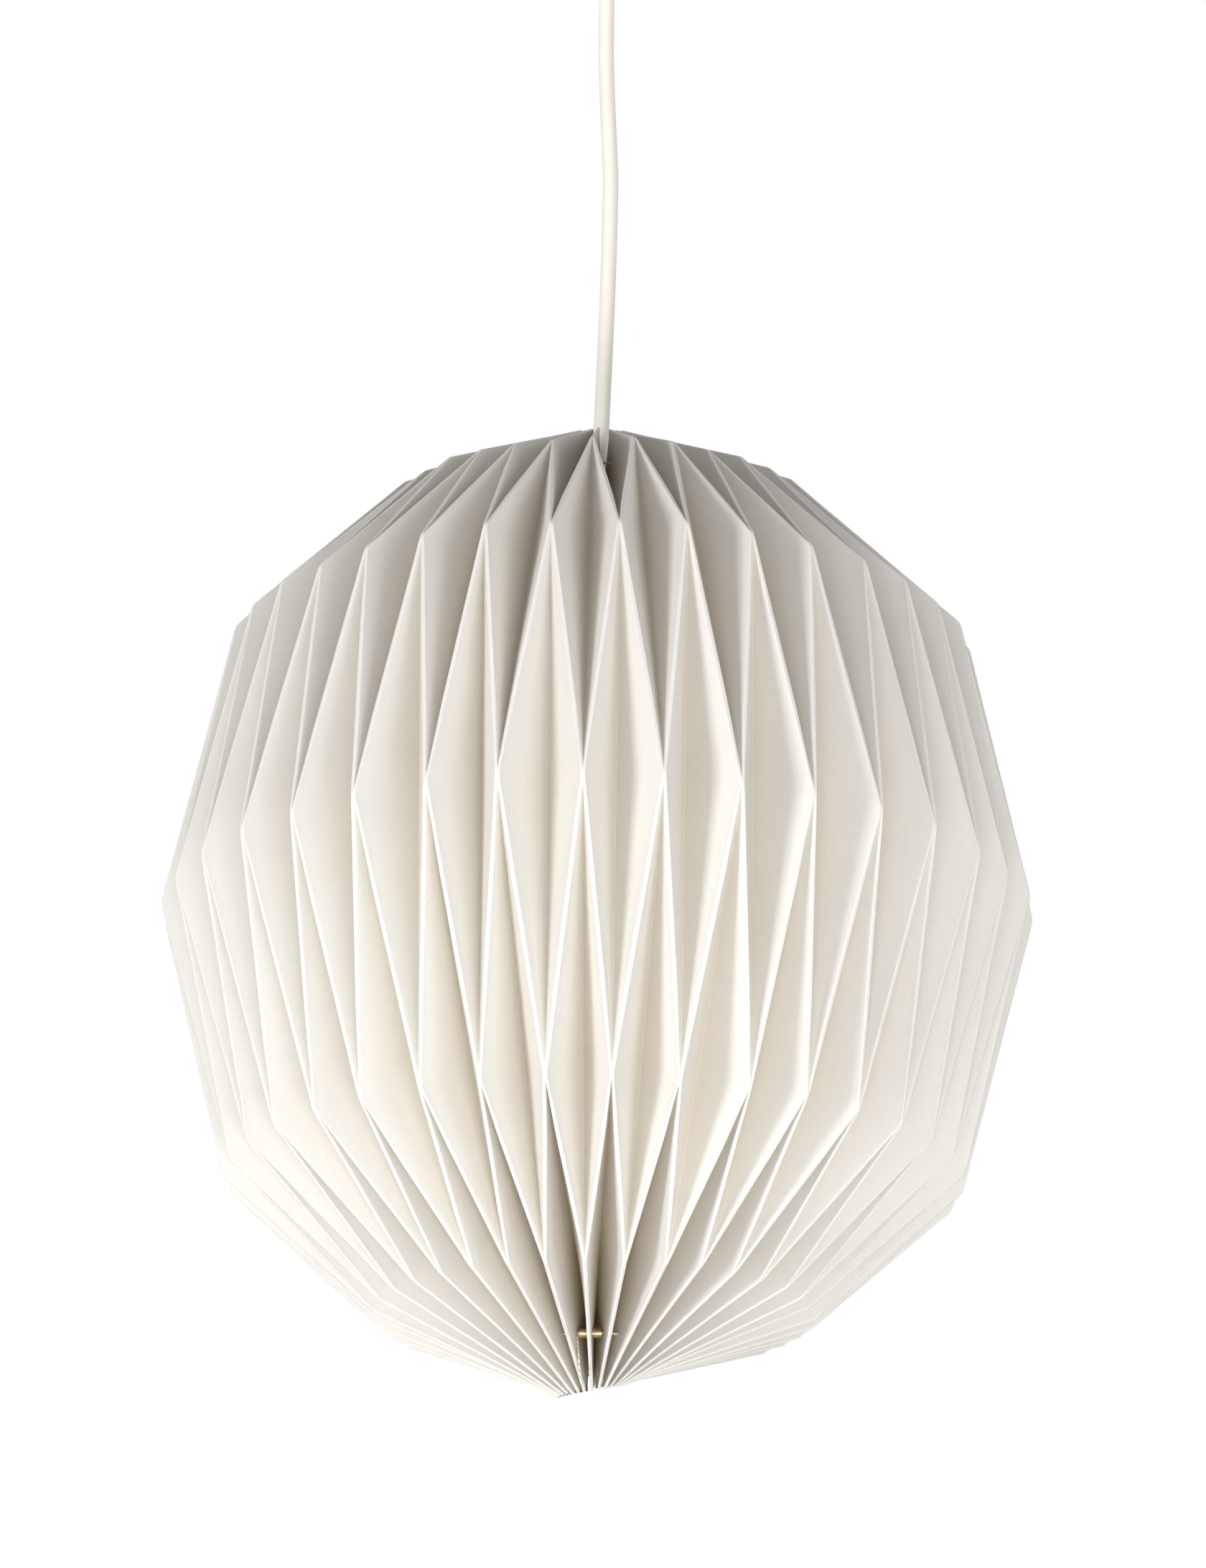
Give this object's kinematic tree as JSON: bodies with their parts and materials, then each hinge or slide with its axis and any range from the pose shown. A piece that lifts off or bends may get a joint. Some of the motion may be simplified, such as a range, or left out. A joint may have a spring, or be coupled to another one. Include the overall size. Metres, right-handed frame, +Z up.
{
  "type": "pleated paper pendant lamp",
  "caption": "Ball-shaped pendant lamp of white diamond-pleated paper on a pale cord, with lampholder, screw-in lamp and ceiling cup.",
  "frame": {"origin": "centre of the ceiling bracket face that lies against the ceiling", "axes": "+Z up, the lamp hanging along -Z; the paper seam, sleeve and thread tail face -Y; +X to the right seen from the seam"},
  "size_m": [0.3802, 0.3802, 0.748],
  "materials": {
    "paper": "matt heavy paper with soft creases",
    "thread": "twisted thread",
    "sleeve_metal": "worn metal",
    "cord": "smooth pale PVC",
    "bracket_steel": "zinc plated",
    "screw_steel": "zinc plated",
    "white_plastic": "moulded",
    "clear_nylon": "milky moulded nylon",
    "porcelain": null,
    "contact_brass": "stamped",
    "live_insulation": "brown wire insulation",
    "neutral_insulation": "blue wire insulation",
    "bulb_glass": "clear",
    "bulb_black": "vitreous insulator",
    "bulb_cap_metal": "rolled",
    "solder": "solder",
    "filament": "coated"
  },
  "bodies": {
    "ceiling": {"ceiling_bracket": "bracket_steel", "cord_anchor": "bracket_steel", "cord_anchor_screw": "screw_steel", "terminal_block": "clear_nylon", "terminal_block_screws": "screw_steel", "lead_live_top": "live_insulation", "lead_neutral_top": "neutral_insulation", "cord_ceiling_end": "cord"},
    "cup": {"ceiling_cup": "white_plastic", "cup_cord_grip": "white_plastic", "cup_grip_nut": "white_plastic", "cup_grip_screw": "screw_steel"},
    "cord_bend": {"cord_flex_section": "cord"},
    "pendant": {"pendant_cord": "cord", "holder_cord_gland": "white_plastic", "shade_support_disc": "white_plastic", "holder_cap": "white_plastic", "holder_shell": "white_plastic", "holder_insert": "porcelain", "holder_screw_shell": "contact_brass", "holder_centre_contact": "contact_brass", "holder_terminal_screws": "screw_steel", "lead_live_bottom": "live_insulation", "lead_neutral_bottom": "neutral_insulation", "draw_thread_top": "thread", "draw_thread_bottom": "thread"},
    "bulb_travel": {"bulb_insulator": "bulb_black", "bulb_tip_contact": "solder"},
    "bulb": {"bulb_screw_cap": "bulb_cap_metal", "bulb_glass": "bulb_glass", "bulb_stem": "bulb_glass", "bulb_filaments": "filament"},
    "leaf_right_1": {"paper_leaf_right_1": "paper", "thread_sleeve": "sleeve_metal", "thread_tail": "thread"},
    "leaf_left_1": {"paper_leaf_left_1": "paper"},
    "leaf_right_2": {"paper_leaf_right_2": "paper"},
    "leaf_left_2": {"paper_leaf_left_2": "paper"},
    "leaf_right_3": {"paper_leaf_right_3": "paper"},
    "leaf_left_3": {"paper_leaf_left_3": "paper"},
    "leaf_right_4": {"paper_leaf_right_4": "paper"},
    "leaf_left_4": {"paper_leaf_left_4": "paper"},
    "leaf_right_5": {"paper_leaf_right_5": "paper"},
    "leaf_left_5": {"paper_leaf_left_5": "paper"},
    "leaf_right_6": {"paper_leaf_right_6": "paper"},
    "leaf_left_6": {"paper_leaf_left_6": "paper"},
    "leaf_right_7": {"paper_leaf_right_7": "paper"},
    "leaf_left_7": {"paper_leaf_left_7": "paper"},
    "leaf_right_8": {"paper_leaf_right_8": "paper"},
    "leaf_left_8": {"paper_leaf_left_8": "paper"},
    "leaf_right_9": {"paper_leaf_right_9": "paper"},
    "leaf_left_9": {"paper_leaf_left_9": "paper"}
  },
  "joints": [
    {"name": "cup_slide", "type": "slide", "parent": "ceiling", "child": "cup", "axis": [0, 0, -1], "range_m": [0, 0.036], "stiffness_N_per_m": 180},
    {"name": "sway_forward", "type": "hinge", "parent": "ceiling", "child": "cord_bend", "pos_m": [0, 0, -0.113], "axis": [1, 0, 0], "range_deg": [-10, 10]},
    {"name": "sway_sideways", "type": "hinge", "parent": "cord_bend", "child": "pendant", "pos_m": [0, 0, -0.113], "axis": [0, 1, 0], "range_deg": [-10, 10]},
    {"name": "bulb_drop", "type": "slide", "parent": "pendant", "child": "bulb_travel", "axis": [0, 0, -1], "range_m": [0, 0.02172]},
    {"name": "bulb_turn", "type": "hinge", "parent": "bulb_travel", "child": "bulb", "pos_m": [0, 0, -0.43], "axis": [0, 0, -1], "range_deg": [0, 2160.01]},
    {"name": "fold_right_1", "type": "hinge", "parent": "pendant", "child": "leaf_right_1", "pos_m": [0, 0, -0.53], "axis": [0, 0, 1], "range_deg": [0, 147], "deforming": ["paper_leaf_right_1"]},
    {"name": "fold_left_1", "type": "hinge", "parent": "pendant", "child": "leaf_left_1", "pos_m": [0, 0, -0.53], "axis": [0, 0, -1], "range_deg": [0, 147], "deforming": ["paper_leaf_left_1"]},
    {"name": "fold_right_2", "type": "hinge", "parent": "pendant", "child": "leaf_right_2", "pos_m": [0, 0, -0.53], "axis": [0, 0, 1], "range_deg": [0, 129.72], "deforming": ["paper_leaf_right_2"]},
    {"name": "fold_left_2", "type": "hinge", "parent": "pendant", "child": "leaf_left_2", "pos_m": [0, 0, -0.53], "axis": [0, 0, -1], "range_deg": [0, 129.72], "deforming": ["paper_leaf_left_2"]},
    {"name": "fold_right_3", "type": "hinge", "parent": "pendant", "child": "leaf_right_3", "pos_m": [0, 0, -0.53], "axis": [0, 0, 1], "range_deg": [0, 112.42], "deforming": ["paper_leaf_right_3"]},
    {"name": "fold_left_3", "type": "hinge", "parent": "pendant", "child": "leaf_left_3", "pos_m": [0, 0, -0.53], "axis": [0, 0, -1], "range_deg": [0, 112.42], "deforming": ["paper_leaf_left_3"]},
    {"name": "fold_right_4", "type": "hinge", "parent": "pendant", "child": "leaf_right_4", "pos_m": [0, 0, -0.53], "axis": [0, 0, 1], "range_deg": [0, 95.13], "deforming": ["paper_leaf_right_4"]},
    {"name": "fold_left_4", "type": "hinge", "parent": "pendant", "child": "leaf_left_4", "pos_m": [0, 0, -0.53], "axis": [0, 0, -1], "range_deg": [0, 95.13], "deforming": ["paper_leaf_left_4"]},
    {"name": "fold_right_5", "type": "hinge", "parent": "pendant", "child": "leaf_right_5", "pos_m": [0, 0, -0.53], "axis": [0, 0, 1], "range_deg": [0, 77.83], "deforming": ["paper_leaf_right_5"]},
    {"name": "fold_left_5", "type": "hinge", "parent": "pendant", "child": "leaf_left_5", "pos_m": [0, 0, -0.53], "axis": [0, 0, -1], "range_deg": [0, 77.83], "deforming": ["paper_leaf_left_5"]},
    {"name": "fold_right_6", "type": "hinge", "parent": "pendant", "child": "leaf_right_6", "pos_m": [0, 0, -0.53], "axis": [0, 0, 1], "range_deg": [0, 60.54], "deforming": ["paper_leaf_right_6"]},
    {"name": "fold_left_6", "type": "hinge", "parent": "pendant", "child": "leaf_left_6", "pos_m": [0, 0, -0.53], "axis": [0, 0, -1], "range_deg": [0, 60.54], "deforming": ["paper_leaf_left_6"]},
    {"name": "fold_right_7", "type": "hinge", "parent": "pendant", "child": "leaf_right_7", "pos_m": [0, 0, -0.53], "axis": [0, 0, 1], "range_deg": [0, 43.24], "deforming": ["paper_leaf_right_7"]},
    {"name": "fold_left_7", "type": "hinge", "parent": "pendant", "child": "leaf_left_7", "pos_m": [0, 0, -0.53], "axis": [0, 0, -1], "range_deg": [0, 43.24], "deforming": ["paper_leaf_left_7"]},
    {"name": "fold_right_8", "type": "hinge", "parent": "pendant", "child": "leaf_right_8", "pos_m": [0, 0, -0.53], "axis": [0, 0, 1], "range_deg": [0, 25.95], "deforming": ["paper_leaf_right_8"]},
    {"name": "fold_left_8", "type": "hinge", "parent": "pendant", "child": "leaf_left_8", "pos_m": [0, 0, -0.53], "axis": [0, 0, -1], "range_deg": [0, 25.95], "deforming": ["paper_leaf_left_8"]},
    {"name": "fold_right_9", "type": "hinge", "parent": "pendant", "child": "leaf_right_9", "pos_m": [0, 0, -0.53], "axis": [0, 0, 1], "range_deg": [0, 8.66], "deforming": ["paper_leaf_right_9"]},
    {"name": "fold_left_9", "type": "hinge", "parent": "pendant", "child": "leaf_left_9", "pos_m": [0, 0, -0.53], "axis": [0, 0, -1], "range_deg": [0, 8.66], "deforming": ["paper_leaf_left_9"]}
  ],
  "couplings": [
    {"joint": "bulb_turn", "follows": "bulb_drop", "rad_per_m": 1735.7},
    {"joint": "fold_left_1", "follows": "fold_right_1", "ratio": 1},
    {"joint": "fold_right_2", "follows": "fold_right_1", "ratio": 0.88235},
    {"joint": "fold_left_2", "follows": "fold_right_1", "ratio": 0.88235},
    {"joint": "fold_right_3", "follows": "fold_right_1", "ratio": 0.76471},
    {"joint": "fold_left_3", "follows": "fold_right_1", "ratio": 0.76471},
    {"joint": "fold_right_4", "follows": "fold_right_1", "ratio": 0.64706},
    {"joint": "fold_left_4", "follows": "fold_right_1", "ratio": 0.64706},
    {"joint": "fold_right_5", "follows": "fold_right_1", "ratio": 0.52941},
    {"joint": "fold_left_5", "follows": "fold_right_1", "ratio": 0.52941},
    {"joint": "fold_right_6", "follows": "fold_right_1", "ratio": 0.41176},
    {"joint": "fold_left_6", "follows": "fold_right_1", "ratio": 0.41176},
    {"joint": "fold_right_7", "follows": "fold_right_1", "ratio": 0.29412},
    {"joint": "fold_left_7", "follows": "fold_right_1", "ratio": 0.29412},
    {"joint": "fold_right_8", "follows": "fold_right_1", "ratio": 0.17647},
    {"joint": "fold_left_8", "follows": "fold_right_1", "ratio": 0.17647},
    {"joint": "fold_right_9", "follows": "fold_right_1", "ratio": 0.058824},
    {"joint": "fold_left_9", "follows": "fold_right_1", "ratio": 0.058824}
  ]
}
